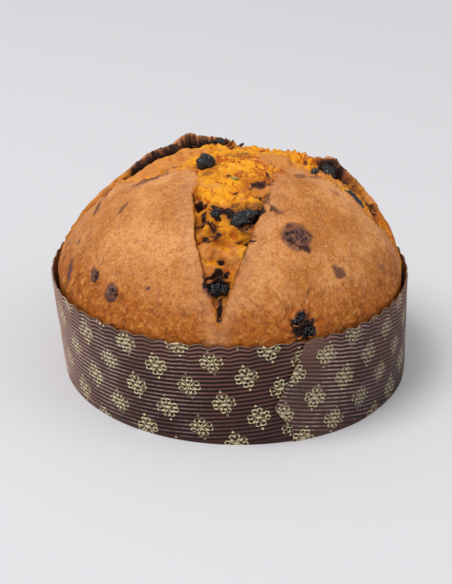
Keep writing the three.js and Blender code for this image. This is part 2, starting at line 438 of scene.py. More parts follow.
def band_outside():
    finish = Finish("printed_corrugated_paper", Specular_IOR_Level=0.28)
    phase, crush, bearing, height = map(finish.field, ("phase", "crush", "bearing", "height"))
    flute = phase.wave() * crush * 0.5 + 0.5
    lit_side = (phase - 0.1).wave() * crush
    cloudy = finish.grain(0.03, 4, 0.6)
    fibre = finish.grain(0.0007, 3, 0.7)
    grease = finish.grain(0.045, 2, 0.5, 0.6).rise(0.5, 0.68)

    # Painted light: paler from the left side round to the back, and a little on the flap.
    painted_light = bearing.rise(-22, -85) * bearing.rise(-290, -220) * 0.8
    painted_light = painted_light + bearing.rise(-318, -335) * 0.2

    # Painted highlights: broken glints on the flutes of the left front and of the flap.
    sheen = bearing.rise(0, -25) * bearing.rise(-110, -65) * 0.8 + bearing.rise(-300, -330) * 1.3
    sheen = sheen * finish.grain(0.02, 4, 0.65).rise(0.38, 0.56) + 0.08
    glint = lit_side.rise(0.55, 0.95) * finish.grain(0.0022, 3, 0.7).rise(0.3, 0.55)

    # Ink that is worn off in spots, fainter between the flutes and weaker on the rubbed side.
    worn = finish.grain(0.0016, 3, 0.7).rise(0.22, 0.45) * (0.3 + 0.7 * flute)
    rubbed = 0.5 + 0.5 * bearing.rise(-80, -35).over(bearing.rise(-312, -340))
    ink = rosette(finish) * worn * rubbed

    # Plum paper with painted highlights on the flute crests and painted shade, near black, between
    # the flutes; paler on the flutes near the rim and darker towards the foot.
    colour = finish.coats(
        (0.056, 0.015, 0.01),
        ((0.11, 0.032, 0.023), cloudy.rise(0.38, 0.66)),
        ((0.25, 0.09, 0.066), flute.rise(0.8, 1) * 0.7),
        ((0.004, 0.002, 0.0018), flute.rise(0.6, 0.1) * 0.95),
        ((0.34, 0.16, 0.11), height.rise(0.55, 1) * flute * 0.45),
        ((0.02, 0.008, 0.008), height.rise(0.6, 0.1) * 0.5),
        ((0.018, 0.008, 0.006), grease * 0.5),
        ((0.52, 0.28, 0.21), painted_light * (0.25 + flute * 0.65)),
        ((0.03, 0.016, 0.012), fibre.rise(0.62, 0.75) * 0.35),
        ((0.55, 0.4, 0.36), sheen * glint * 0.65),
        ((0.95, 0.85, 0.48), ink * 0.92))
    creases = finish.bump(finish.grain(0.005, 4, 0.65), 0.0004)
    return finish.set(Base_Color=colour, Roughness=0.44 - 0.12 * grease + 0.12 * fibre - 0.06 * ink,
                      Normal=finish.bump(fibre, 0.00006, creases))


def band_inside():
    finish = Finish("baked_paper_back", Specular_IOR_Level=0.3)
    fibre = finish.grain(0.0009, 3, 0.7)
    cloudy = finish.grain(0.02, 3)
    flute = finish.field("phase").wave() * finish.field("crush") * 0.5 + 0.5
    colour = finish.coats(
        (0.24, 0.1, 0.035),
        ((0.4, 0.2, 0.09), cloudy.rise(0.4, 0.65)),
        ((0.14, 0.06, 0.025), flute * 0.4))
    return finish.set(Base_Color=colour, Roughness=0.7 + fibre * 0.15,
                      Normal=finish.bump(fibre, 0.0001))


def cut_edge():
    finish = Finish("cut_paper_edge", Roughness=0.85)
    colour = finish.blend((0.2, 0.1, 0.055), (0.36, 0.21, 0.12), finish.grain(0.0012, 3, 0.7))
    return finish.set(Base_Color=colour)


strip = grid_mesh(strip_columns, strip_rows)
shape_strip(strip)
band = make_piece("paper_band_strip", strip, band_outside(), band_inside(), cut_edge())
wall = band.modifiers.new("thickness", "SOLIDIFY")
wall.thickness = paper_thickness * mm
wall.offset = -1
wall.material_offset = 1
wall.material_offset_rim = 2
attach(band, "root")
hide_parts("paper_band")

# ---- Paper base ----
# A disc of the same corrugated paper. Its edge is turned up all round and glued inside
# the band's foot; the weight of the loaf presses its flutes almost flat.
base_cells = 190  # squares along each side of the sheet
base_flat = 0.9  # share of the grid that is the flat disc, the rest is turned up
base_flute_depth = 0.3
flange_height = 9
pleat_count = 140
pleat_depth = 0.3
base_inset = 1.5  # from the band's outside to the flange


def disc_grid(mesh):
    """Bearing from +X and distance 0 to 1 of each point of a square grid laid on a disc."""
    a, b = read_points(mesh)[:, :2].T
    wide = np.abs(a) > np.abs(b)
    reach = np.where(wide, a, b)
    safe = np.where(reach == 0, 1, reach)
    angle = np.where(wide, math.pi / 4 * b / safe, math.pi / 2 - math.pi / 4 * a / safe)
    angle = np.where(reach < 0, angle + math.pi, angle)
    return angle, np.abs(reach)


def shape_base(mesh):
    angle, reach = disc_grid(mesh)
    flat = np.minimum(reach / base_flat, 1)
    up = np.maximum(reach - base_flat, 0) / (1 - base_flat)
    height = up * flange_height
    bearing = np.degrees(angle) + 90
    points = on_mould(bearing, height, -base_inset)
    centre = np.array([mould_centre_x(0), 0])
    points[:, :2] = centre + (points[:, :2] - centre) * flat[:, None]
    flute = np.cos(2 * math.pi * points[:, 0] / flute_pitch)
    pressed = base_flute_depth * (0.55 + 0.45 * flute * smoothstep(1 - flat, 0, 0.04))
    pleat = pleat_depth * np.sin(angle * pleat_count) * up * (1 - up) * 2
    points[:, :2] *= (1 + pleat / foot_radius)[:, None]
    points[:, 2] += pressed * (up == 0)
    write_points(mesh, points)
    write_fields(mesh, flute=(flute + 1) / 2)


def pressed_paper():
    finish = Finish("pressed_base_paper", Specular_IOR_Level=0.4)
    fibre = finish.grain(0.0008, 3, 0.7)
    grease = finish.grain(0.05, 3, 0.55).rise(0.42, 0.66)
    colour = finish.coats(
        (0.1, 0.05, 0.042),
        ((0.05, 0.024, 0.02), finish.field("flute") * 0.7),
        ((0.025, 0.012, 0.009), grease * 0.7))
    return finish.set(Base_Color=colour, Roughness=0.5 + fibre * 0.25 - grease * 0.1,
                      Normal=finish.bump(fibre, 0.0001))


base_mesh = grid_mesh(base_cells, base_cells)
shape_base(base_mesh)
base = make_piece("paper_base_disc", base_mesh, pressed_paper())
sheet_wall = base.modifiers.new("thickness", "SOLIDIFY")
sheet_wall.thickness = paper_thickness * mm
sheet_wall.offset = 1
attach(base, "root")
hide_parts("paper_base")

# ---- Loaf ----
# Sweet yeast dough baked in the mould. Below the rim it has the mould's form; above it
# the crust domed and burst along a crosswise cut, leaving lobes of smooth brown crust,
# some with lifted lips, and rough golden crumb between them.
loaf_cells = 308  # squares along each side of the sheet that it is shaped from
dome_share = 0.86  # of the grid; the rest goes down inside the band
dome_height = 62.2
dome_power = 2.92
dome_fullness = 0.745
dome_shift_x = 4
shoulder_radius = 100.6
shoulder_offset_y = -2
loaf_gap = 0.4  # between the loaf and the paper
foot_height = 1.6
foot_rounding = 7
split_fade = 14  # height above the rim over which the splits come to their full depth
crumb_sink = 5.4  # of the torn crumb's floor below the crust
mound_place = (6, 2)  # where the crumb swells up again
mound_reach = 36
hollow_depth = 4.5
pillow_height = 2.4

# Each lobe of crust seen from above, from the rim in to the cross and back out: x, y,
# how far its lip is lifted, and how far crust and crumb run into each other there.
lobes = [
    [  # front left
        (-6, -130, 0, 1), (-6, -100, 0, 3), (-9, -95, 0.3, 0.8), (-14, -86, 0.8, 0.6),
        (-20, -68, 0.9, 0.5), (-21, -53, 0.9, 0.5), (-22, -37, 1, 0.6), (-19, -26, 0.3, 3),
        (-21, -8, 0, 8), (-31, -6, 0, 9), (-43, -10, 0, 8), (-52, -7, 0, 7),
        (-63, 2, 0.3, 4), (-71, 0, 0.6, 3), (-84, -1, 0.5, 2), (-100, 4, 0, 2),
        (-130, 10, 0, 2), (-130, -130, 0, 1),
    ],
    [  # front right
        (-6, -130, 0, 1), (-6, -100, 0, 3), (-1, -94, 0.4, 0.8), (7, -80, 0.6, 0.5),
        (15, -61, 0.6, 0.6), (18, -51, 0.6, 1.5), (20, -38, 0.3, 4), (22, -22, 0, 10),
        (27, -6, 0, 14), (38, 2, 0, 10), (48, -6, 0.2, 5), (59, -13, 1.2, 1),
        (68, -17, 1.6, 0.7), (76, -22, 1, 1), (84, -19, 0.8, 1.5), (90, -14, 0.5, 2),
        (98, -11, 0, 2), (130, -14, 0, 2), (130, -130, 0, 1),
    ],
    [  # back right
        (130, -11, 0, 1), (98, -9, 0.8, 1), (91, -3, 2, 0.8), (83, 8, 2.6, 0.7),
        (73, 17, 3.2, 0.7), (65, 23, 5, 0.6), (59, 27, 7, 0.6), (53, 26, 5, 0.8),
        (48, 31, 1.5, 1.5), (42, 42, 0.3, 3), (28, 68, 1, 2), (22, 96, 0.5, 1), (20, 130, 0, 1),
        (130, 130, 0, 1),
    ],
    [  # back left
        (6, 130, 0, 1), (8, 96, 0.5, 1), (4, 70, 1.5, 1), (-2, 54, 3, 0.8), (-8, 43, 5.5, 0.6),
        (-14, 41, 7.5, 0.5), (-24, 38, 8, 0.5), (-36, 31, 7, 0.5), (-46, 24, 6, 0.5),
        (-57, 17, 4, 0.6), (-66, 11, 3, 0.8), (-78, 5, 2.4, 1), (-100, 7, 1.2, 1.5),
        (-130, 12, 0, 1.5), (-130, 130, 0, 1),
    ],
]
# Raisins close under the crust show as dark soft patches, and the long one at (-46, -10) is
# painted shade along the front left lobe's top edge: x, y, size along, size across, turn, strength.
raisin_spots_and_shade = [
    (-91, -36, 9, 4, 60, 1), (-86, -24, 4, 2.4, 60, 0.8), (-76, -55, 6, 3.5, 80, 0.75),
    (-65, -70, 6, 3.5, 30, 0.8), (-44, -81, 2.6, 2, 0, 1), (36, -63, 9, 6, 10, 0.8),
    (60, -68, 6.5, 5, 20, 0.9), (86, -42, 7, 4, 30, 0.6), (40, -93, 8, 6, 0, 0.6),
    (29, -91, 5, 3.5, 0, 0.3), (48, -33, 2.4, 2, 0, 0.6), (37, -46, 5, 3.4, 0, 0.3),
    (50, -48, 1.8, 1.8, 0, 0.5), (39, -10, 5, 3.4, 40, 0.7), (49, -7, 6, 2.6, 20, 0.7),
    (-71, 0, 5, 2.2, 60, 0.7), (-77, -8, 7, 2.4, 60, 0.9), (-60, -28, 6, 2.2, 50, 0.8),
    (-46, -10, 14, 3, 5, 0.8), (-33, 3, 9, 3, 20, 0.7), (-34, -58, 2, 1.6, 0, 0.3),
    (-40, -74, 2.2, 1.5, 0, 0.3), (-30, -88, 1.6, 1.6, 0, 0.5), (58, -18, 5, 2.5, -20, 0.5),
    (-24, -28, 5, 3, 10, 0.45), (26, -50, 4, 3, 0, 0.7), (-20, 70, 7, 5, 30, 0.7),
    (-64, 52, 6, 4, 50, 0.6), (60, 60, 7, 5, 120, 0.7), (30, 92, 5, 4, 0, 0.6),
    (-40, 84, 6, 3.5, 160, 0.5), (84, 36, 6, 4, 60, 0.6),
]
# Thin skins left over the crumb where it tore in layers, in the same form.
films = [
    (-48, 8, 26, 9, 12, 1), (-26, 20, 14, 7, 20, 0.7), (-13, -74, 4, 7, 0, 1),
    (3, -80, 5, 7, 0, 0.7), (57, 2, 10, 6, -25, 1), (20, -34, 11, 4, -40, 1),
    (30, 12, 16, 13, 30, 1.3), (46, 10, 9, 6, 0, 0.6), (-84, 5, 22, 7, 0, 1),
    (12, -56, 6, 8, 0, 0.6), (-16, -60, 3, 6, 0, 0.8), (14, 66, 8, 14, 0, 0.7),
]
# Places where the surface sinks, in the same form.
hollows = [
    (43, 10, 9, 9, 0, 1), (40, 26, 7, 9, 0, 0.8), (-8, 60, 6, 12, 0, 0.5), (-17, -57, 3, 9, 0, 0.7),
    (-17, -44, 3, 5, 0, 0.6), (10, -69, 6, 2.4, 15, 0.7), (-6, -88, 6, 6, 0, 0.8),
    (42, 27, 7, 9, 0, 1.2), (-5, -79, 2.4, 2.4, 0, 0.7), (14, -53, 4, 4, 0, 0.5),
    (57, 19, 7, 5, 20, 0.6),
]
# Pillows of crumb that swelled out of the tear, in the same form.
pillows = [
    (-13, -74, 5.5, 7, 0, 1), (4, -77, 6, 7, 0, 0.9), (-2, -63, 6, 6, 0, 0.7),
    (-13, -62, 5, 3, 30, 0.8), (57, 2, 10, 6, -25, 0.5), (20, -34, 11, 3.5, -40, 0.6),
    (-2, -100, 6, 5, 0, 0.5), (12, -97, 8, 5, 0, 0.35), (-34, 21, 18, 8, 28, 1.3),
    (-14, 30, 12, 8, 0, 1), (-56, 9, 14, 5, 30, 1), (72, 5, 12, 5, -30, 0.7),
]
# Crust drawn into folds round sunken fruit: x, y, how far, how many folds, how high.
puckers = [
    (40, -93, 19, 9, 0.9), (29, -91, 9, 7, 0.5), (66, -76, 12, 6, 0.5),
    (-64, -72, 9, 7, 0.35), (-74, -57, 7, 6, 0.3), (36, -63, 12, 9, 0.3),
]
# Burnt and blackened places in the splits, in the same form as the raisin spots.
burns = [
    (-17, -41, 5, 3, -50, 1.1), (-5, -50, 10, 2.8, -27, 1.15), (-12, -60, 8, 1.8, -45, 1.1),
    (-10, -67, 7, 2, 15, 1.1), (-14, -69, 4, 2.6, -20, 0.7), (-15, -53, 5, 1.6, 70, 0.9),
    (-5, -79, 2.6, 2.2, 0, 1.1), (-7, -87, 8, 8, 20, 1.5), (-5, -96, 2.4, 7, 0, 1),
    (14, -52, 6, 5, 30, 1.05), (9, -70, 7, 1.8, 0, 1.1), (24, -49, 3.4, 3, 0, 0.7),
    (10, -62, 5, 1.6, 40, 0.8), (2, -46, 5, 2, 30, 0.6),
    (16, -26, 7, 6, 20, 0.9), (5, 15, 9, 4, 10, 0.45), (-1, -17, 1.6, 1.4, 0, 1),
    (3, -33, 1.6, 1.5, 0, 1), (-13, -13, 6, 3.5, 20, 0.5), (57, 20, 7, 5, 20, 1.1),
    (70, 6, 7, 2.6, -30, 0.8), (60, -10, 8, 1.6, -25, 0.9), (84, -2, 5, 4, -20, 0.7),
    (1, 40, 6, 5, 0, 0.9), (88, -8, 6, 3, -20, 0.7), (-14, -94, 2, 4, 0, 0.4),
    (40, -93, 9, 8, 30, 1.1), (19, -43, 7, 3, 70, 0.6), (12, -46, 6, 5, 0, 0.6),
    (33, -89, 7, 0.9, 130, 0.55), (42, -84, 8, 0.9, 80, 0.5), (-2, -108, 3, 1.2, 70, 0.7),
    (34, -63, 7, 4, 30, 0.9), (41, -60, 5, 4, 0, 0.85), (32, -58, 3, 3, 0, 0.7),
    (41, -67, 5, 3, 0, 0.85), (-71, -1, 6, 1.2, 60, 0.5), (17, -38, 7, 1.2, -20, 0.7),
]
# The crumb and crust around them are toasted, twice as far out.
toasts = [(x, y, 2 * along, 2 * across, turn, strength)
          for x, y, along, across, turn, strength in burns]
raisin_names = sorted(name for name in frame["nodes"] if name.startswith("raisin_"))


def dome_rise(reach):
    return np.maximum(1 - np.abs(reach)**dome_power, 0) ** dome_fullness


def dome_point(angle, reach):
    """The smooth dome: reach is 0 at the crown and 1 at the shoulder."""
    rise = dome_rise(reach)
    radius = reach * shoulder_radius
    return np.stack([rim_centre_x + radius * np.cos(angle) + dome_shift_x * rise,
                     shoulder_offset_y + radius * np.sin(angle),
                     mould_height + dome_height * rise], axis=-1)


# Distance over the dome from its crown, for each reach from 0 to 1.
reaches = 1 - np.linspace(1, 0, 2001) ** 2
dome_steps = np.hypot(np.diff(reaches) * shoulder_radius, np.diff(dome_rise(reaches)) * dome_height)
dome_arc = np.concatenate([[0], np.cumsum(dome_steps)])
dome_length = dome_arc[-1]


def wall_point(angle, height, inset):
    """The loaf inside the band: the mould's form below, drawn in towards the rim."""
    drawn = smoothstep(height, mould_height / 2, mould_height)
    lower = mould_radius(height) - base_inset - paper_thickness - loaf_gap
    radius = lower + (shoulder_radius - lower) * drawn - inset
    return np.stack([mould_centre_x(height) + radius * np.cos(angle),
                     shoulder_offset_y * drawn + radius * np.sin(angle), height], axis=-1)


def laid_flat(x, y):
    """Places given from above, laid out flat by their distance over the dome."""
    reach = np.hypot(x, y) / shoulder_radius
    for _ in range(4):
        shift = dome_shift_x * dome_rise(np.minimum(reach, 1))
        reach = np.hypot(x - shift, y - shoulder_offset_y) / shoulder_radius
    angle = np.arctan2(y - shoulder_offset_y, x - shift)
    arc = np.interp(reach, reaches, dome_arc) + np.maximum(reach - 1, 0) * shoulder_radius
    return np.stack([arc * np.cos(angle), arc * np.sin(angle)], axis=-1)


def spot(x, y):
    """One place given from above, laid out flat."""
    return laid_flat(np.array(float(x)), np.array(float(y)))


def to_outline(points, outline):
    """For each point: how far inside the outline it is (below 0 outside), the way out, and
    the outline's own values at the place nearest to it."""
    corners = np.array(outline, float)
    corners[:, :2] = laid_flat(corners[:, 0], corners[:, 1])
    gap = np.full(len(points), np.inf)
    away = np.zeros((len(points), 2))
    values = np.zeros((len(points), corners.shape[1] - 2))
    inside = np.zeros(len(points), bool)
    for start, end in zip(corners, np.roll(corners, -1, axis=0)):
        run = end[:2] - start[:2]
        part = np.clip((points - start[:2]) @ run / (run @ run), 0, 1)
        offset = start[:2] + part[:, None] * run - points
        span = np.hypot(*offset.T)
        nearer = span < gap
        gap[nearer] = span[nearer]
        away[nearer] = offset[nearer]
        values[nearer] = (start[2:] + part[:, None] * (end[2:] - start[2:]))[nearer]
        crosses = (start[1] > points[:, 1]) != (end[1] > points[:, 1])
        where = start[0] + run[0] * (points[:, 1] - start[1]) / (run[1] or 1e-9)
        inside ^= crosses & (points[:, 0] < where)
    sign = np.where(inside, 1, -1)
    away *= (sign / np.maximum(gap, 1e-6))[:, None]
    return gap * sign, away, values


def patches(points, spots, ragged):
    """Strength of the strongest soft-edged patch at each point."""
    total = np.zeros(len(points))
    for x, y, along, across, turn, strength in spots:
        gap = points - spot(x, y)
        angle = math.radians(turn)
        far = gap @ [math.cos(angle), math.sin(angle)] / along
        side = gap @ [-math.sin(angle), math.cos(angle)] / across
        near = 1 - np.hypot(far, side) + ragged
        total = np.maximum(total, strength * smoothstep(near, -0.25, 0.45))
    return total


def ridged(noise, points, size):
    """Sharp ridges, up to 1, where the noise changes its sign."""
    return 1 - 2 * np.abs(noise(points, size))


def shape_loaf(mesh):
    """Lays the flat sheet over the dome and down inside the band, and sculpts it. All the
    lengths are in millimetres."""
    angle, reach = disc_grid(mesh)
    cos_angle, sin_angle = np.cos(angle), np.sin(angle)
    arc = np.minimum(reach / dome_share, 1) * dome_length
    down = np.maximum(reach - dome_share, 0) / (1 - dome_share)
    dome_reach = np.interp(arc, dome_arc, reaches)
    points = dome_point(angle, dome_reach)
    ahead = dome_point(angle, np.minimum(dome_reach + 0.002, 1))
    behind = dome_point(angle, np.maximum(dome_reach - 0.002, -0.002))
    outwards = ahead - behind
    outwards /= np.linalg.norm(outwards, axis=1)[:, None]
    around = np.stack([-sin_angle, cos_angle, 0 * angle], axis=1)
    normal = np.cross(outwards, around)

    # The side inside the band, with a rounded foot.
    height = mould_height + (foot_height - mould_height) * down
    corner = np.clip((foot_rounding + foot_height - height) / foot_rounding, 0, 1)
    inset = foot_rounding * (1 - np.sqrt(np.maximum(1 - corner**2, 0)))
    low = down > 0
    points[low] = wall_point(angle, height, inset)[low]
    normal[low] = np.stack([cos_angle, sin_angle, 0 * angle], axis=1)[low]

    rough, torn, fine, fold, soft = (noise_field(seed) for seed in (11, 12, 13, 14, 15))
    arc = arc + down * (mould_height - foot_height)
    flat = np.stack([arc * cos_angle, arc * sin_angle], axis=1)
    jitter = np.stack([rough(points, 5) + 0.5 * torn(points, 2.2),
                       fine(points, 5) + 0.5 * fold(points, 2.2)], axis=1)
    jitter *= 0.6 + 1.5 * smoothstep(points[:, 1:2], 5, 25)

    # The nearest lobe decides how each point is moved. depth is how far inside it a point is.
    depth = np.full(len(points), -np.inf)
    away = np.zeros((len(points), 2))
    lift = np.zeros(len(points))
    run_in = np.ones(len(points))
    for outline in lobes:
        gap, out, values = to_outline(flat + jitter, outline)
        nearer = gap > depth
        depth[nearer] = gap[nearer]
        away[nearer] = out[nearer]
        lift[nearer] = values[nearer, 0]
        run_in[nearer] = values[nearer, 1]
    fade = smoothstep(points[:, 2] - mould_height, -1, split_fade)
    lift *= fade * (1 + 0.35 * soft(points, 11) + 0.07 * torn(points, 4))
    wander = rough(points, 6) + 0.6 * torn(points, 3)
    crust = smoothstep(depth / run_in + 0.45 * wander * smoothstep(run_in, 1, 5), -0.5, 0.5)
    crumb = (1 - crust) * smoothstep(points[:, 2] - mould_height, -10, 2)

    # Torn crumb: a rough floor below the crust that swells up again in the middle.
    mound = bell(np.hypot(*(flat - spot(*mound_place)).T), mound_reach)
    calm = 1 - 0.75 * mound
    film = patches(flat, films, 0.35 * torn(points, 4) + 0.2 * fine(points, 2))
    blisters = smoothstep(soft(points, 12) + 0.5 * rough(points, 5), 0.1, 0.5)
    film = np.maximum(film, 0.8 * blisters * calm) * crumb
    floor_depth = crumb_sink * smoothstep(-depth, -0.3, 2.6) * (1 - 0.9 * mound) * (1 - 0.35 * film)
    bare = 1 - 0.6 * film
    lumps = calm * (1.6 * torn(points, 10) + 2.2 * ridged(rough, points, 7) * bare)
    fibres = 1.1 * ridged(fold, points * [1, 0.45, 1], 4.5) + 0.5 * ridged(fine, points, 2.4)
    lumps += fibres * (1.25 * calm - 0.1) * bare + 0.5 * mound * torn(points, 8)
    raised = crumb * (fade * (lumps - floor_depth) + 0.8 * mound)
    raised -= fade * hollow_depth * patches(flat, hollows, 0.3 * torn(points, 6))
    raised += pillow_height * patches(flat, pillows, 0.2 * torn(points, 6))

    # Crust: gently uneven, curling up to its lips.
    swell = 1.0 * soft(points, 34) + 0.35 * rough(points, 13) + 0.14 * fold(points, 5)
    swell += 0.07 * fine(points, 2.5)
    creased = np.zeros(len(points))
    for x, y, reach_out, folds, fold_height in puckers:
        gap = flat - spot(x, y)
        span = np.hypot(*gap.T)
        turns = folds * np.arctan2(gap[:, 1], gap[:, 0]) / 2 + 2.5 * soft(points, 8)
        waves = 1 - 2 * bell(np.sin(turns), 0.35)
        drawn = smoothstep(span, 0.5, 3) * smoothstep(span, reach_out, reach_out / 3)
        swell += fold_height * waves * drawn
        creased = np.maximum(creased, drawn * smoothstep(-waves, 0.2, 1) * fold_height)
    curl = lift * np.exp(-np.maximum(depth, 0) / (5 + 1.2 * lift))
    raised += crust * (swell + curl)

    # A lip leans out over the crumb, which is hollowed out under it.
    lean = (0.5 + 0.42 * lift) * smoothstep(lift, 0.1, 0.8)
    over = bell(depth - 0.4, 1.5) - 0.75 * bell(depth + 2.6, 1.5)
    raised -= 0.5 * lift * bell(depth + 3, 1.9)
    side = (outwards * (away[:, 0] * cos_angle + away[:, 1] * sin_angle)[:, None]
            + around * (away[:, 1] * cos_angle - away[:, 0] * sin_angle)[:, None])

    # Burnt in the spots; painted shade, as dark as the burns, in the caves under the lips and in
    # the cracks beside sharp edges.
    burnt = patches(flat, burns, 0.45 * torn(points, 3.5) + 0.3 * fine(points, 1.8))
    toast = patches(flat, toasts, 0.5 * torn(points, 5) + 0.4 * fine(points, 2))
    cave = bell(depth + 1.5, 2.1) * smoothstep(lift, 2, 5)
    crease = bell(depth + 1.2, 0.8) * smoothstep(run_in, 1.2, 0.6) * fade
    burnt = np.maximum(burnt, cave * 1.5)
    burnt = np.maximum(burnt, crease * (0.75 + 0.5 * rough(points, 9)))

    # Dark over raisins under the crust and along the lips, with painted shade in its creases and
    # along the front left lobe's top edge.
    dark = patches(flat, raisin_spots_and_shade, 0.3 * rough(points, 4) + 0.15 * fine(points, 2))
    dark = np.maximum(dark, 0.6 * creased * (0.6 + rough(points, 5)))
    lip = smoothstep(lift, 1.5, 5) * np.exp(-np.maximum(depth, 0) / 5) * crust
    dark = np.maximum(dark, lip * (0.55 + 0.7 * soft(points, 6)))
    wrinkle = ridged(fold, points, 2.2) * 0.5
    raised += dark * (wrinkle - 0.3) * 0.7 + burnt * (ridged(torn, points, 3.2) * 1.1 - 0.5)

    # Pockets that the raisins sit in, with the crust drawn up round them.
    for name in raisin_names:
        lowest, highest = (np.array(corner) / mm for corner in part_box(name))
        size = (highest - lowest).max() / 2
        away_from = np.linalg.norm(points - (lowest + highest) / 2, axis=1) / size
        raised += 0.5 * bell(away_from - 1.25, 0.3) * fade
        raised -= 0.8 * smoothstep(away_from, 1.1, 0.5)
        around_raisin = smoothstep(away_from, 1.55, 0.95)
        toast = np.maximum(toast, smoothstep(away_from + 0.25 * torn(points, 3), 2.2, 1))
        dark = np.maximum(dark, 0.75 * around_raisin * crust)
        burnt = np.maximum(burnt, 0.55 * around_raisin * crumb)

    keep = np.where(low, 0.25 * smoothstep(1 - down, 0, 0.3), 1)
    points += normal * (raised * keep)[:, None] + side * (lean * over * fade)[:, None]
    write_points(mesh, points)
    write_fields(mesh, crumb=crumb, film=film, dark=dark, burnt=burnt, toast=toast,
                 edge=smoothstep(depth, 14, 1) * crust, ridge=crumb * (lumps + 1) / 3,
                 low=smoothstep(points[:, 2] - mould_height, 40, 0))


def face_outwards(mesh):
    """Turns the front of every face to the outside of the closed mesh."""
    turned = bmesh.new()
    turned.from_mesh(mesh)
    bmesh.ops.recalc_face_normals(turned, faces=turned.faces)
    turned.to_mesh(mesh)
    turned.free()


def crust_and_crumb():
    finish = Finish("crust_and_crumb", Specular_IOR_Level=0.16)
    crumb, film, dark, burnt, toast, edge, low, ridge = map(
        finish.field, ("crumb", "film", "dark", "burnt", "toast", "edge", "low", "ridge"))
    cloudy = finish.grain(0.028, 3, 0.55)
    mottled = finish.grain(0.006, 4, 0.65)
    speck = finish.grain(0.0013, 3, 0.75)
    coarse = finish.grain(0.0028, 4, 0.7)
    swirl = finish.grain(0.008, 5, 0.62, 1.2)
    streak = finish.grain(0.0032, 4, 0.65, 0.8, (1, 0.5, 1))
    blotch = finish.grain(0.004, 4, 0.7, 0.5)

    # Crust: two browns in clouds, deeper and blotched near the rim, pale at its torn edges
    # and speckled all over, its pale specks partly grain and partly painted glints.
    crust = finish.coats(
        (0.52, 0.175, 0.038),
        ((0.8, 0.345, 0.115), cloudy.rise(0.38, 0.62)),
        ((0.6, 0.2, 0.026), mottled.rise(0.47, 0.62) * 0.65),
        ((0.42, 0.14, 0.05), mottled.rise(0.44, 0.3) * 0.5),
        ((0.44, 0.105, 0.005), (low + mottled * 0.6 - 0.34).rise(0, 1) * 0.95),
        ((0.2, 0.05, 0.006), blotch.rise(0.49, 0.36) * (low * 0.75 + 0.14)),
        ((0.8, 0.34, 0.06), blotch.rise(0.51, 0.66) * (low * 0.5 + 0.12)),
        ((0.7, 0.32, 0.14), edge * 0.5),
        ((0.98, 0.54, 0.22), coarse.rise(0.54, 0.72) * 0.45),
        ((0.38, 0.115, 0.024), coarse.rise(0.45, 0.3) * 0.5),
        ((0.95, 0.52, 0.21), speck.rise(0.5, 0.72) * (0.45 - low * 0.3)),
        ((0.25, 0.075, 0.017), speck.rise(0.48, 0.3) * 0.6))

    # Crumb: golden on its ridges and orange between them, brown where a skin covers it, with
    # painted yellow highlights.
    bright = (ridge * 0.5 + swirl + (streak - 0.5) * 1.3 + (cloudy - 0.5)).rise(0.5, 0.84)
    purple = (finish.grain(0.011, 4, 0.6, 0.6) + (speck - 0.5) * 0.25).rise(0.6, 0.72)
    torn = finish.coats(
        (0.56, 0.1, 0.005),
        ((1, 0.41, 0.019), bright),
        ((0.5, 0.12, 0.012), cloudy.rise(0.52, 0.66) * 0.45),
        ((1, 0.62, 0.1), (streak * 0.6 + coarse * 0.5).rise(0.58, 0.72) * 0.6),
        ((0.4, 0.07, 0.006), (streak + speck * 0.4).rise(0.68, 0.52) * 0.75),
        ((0.74, 0.29, 0.075), (film + streak - 0.5).rise(0.25, 0.8) * 0.85),
        ((0.3, 0.085, 0.035), purple * (1 - film * 0.5) * 0.55))

    # The oven's marks over both, the raisins' dark patches, and painted shade in the creases, in
    # the caves under the lips and in the cracks beside sharp edges, which the scorch and char
    # colours carry with the burns.
    uneven = (mottled - 0.5) * 1.1 + (speck - 0.5) * 0.7 + (streak - 0.5) * 0.8
    browned = (toast + uneven * 0.9).rise(0.15, 0.9) * (0.2 + 0.35 * crumb)
    shaded = (dark + uneven * 0.6).rise(0.25, 0.95)
    scorch_and_shade = (burnt + uneven * 0.8).rise(0.1, 0.85)
    char = (burnt + uneven).rise(0.55, 1)
    colour = finish.coats(
        crust,
        (torn, crumb),
        ((0.5, 0.12, 0.012), browned),
        ((0.13, 0.052, 0.046), shaded * 0.85),
        ((0.12, 0.042, 0.028), scorch_and_shade * 0.85),
        ((0.014, 0.008, 0.008), char * 0.9))

    skin = finish.bump(speck, 0.00025)
    skin = finish.bump(coarse, 0.0006, skin)
    skin = finish.bump(mottled, 0.0005, skin)
    skin = finish.bump(blotch * (low + 0.25), 0.0007, skin)
    normal = finish.bump(streak * crumb, 0.0012, skin)
    rough = 0.62 + crumb * 0.1 + speck * 0.12 - char * 0.2
    return finish.set(Base_Color=colour, Roughness=rough, Normal=normal)


loaf_sheet = bmesh.new()
bmesh.ops.create_grid(loaf_sheet, x_segments=loaf_cells, y_segments=loaf_cells, size=1)
bmesh.ops.edgeloop_fill(loaf_sheet, edges=[edge for edge in loaf_sheet.edges if edge.is_boundary])
loaf_mesh = finished_mesh(loaf_sheet)
shape_loaf(loaf_mesh)
face_outwards(loaf_mesh)
loaf = make_piece("loaf_crust", loaf_mesh, crust_and_crumb())
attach(loaf, "root")
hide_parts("loaf")

# ---- Torn shreds ----
# Thin strips that tore loose as the cut opened, curled up and scorched by the oven: round
# the raisins in the front split, along the lifted lips and at the burst place by the rim.
shred_cells = (14, 5)
shred_thickness = 0.5
root_sunk = 0.6  # below the loaf's surface
first_shred_seed = 400
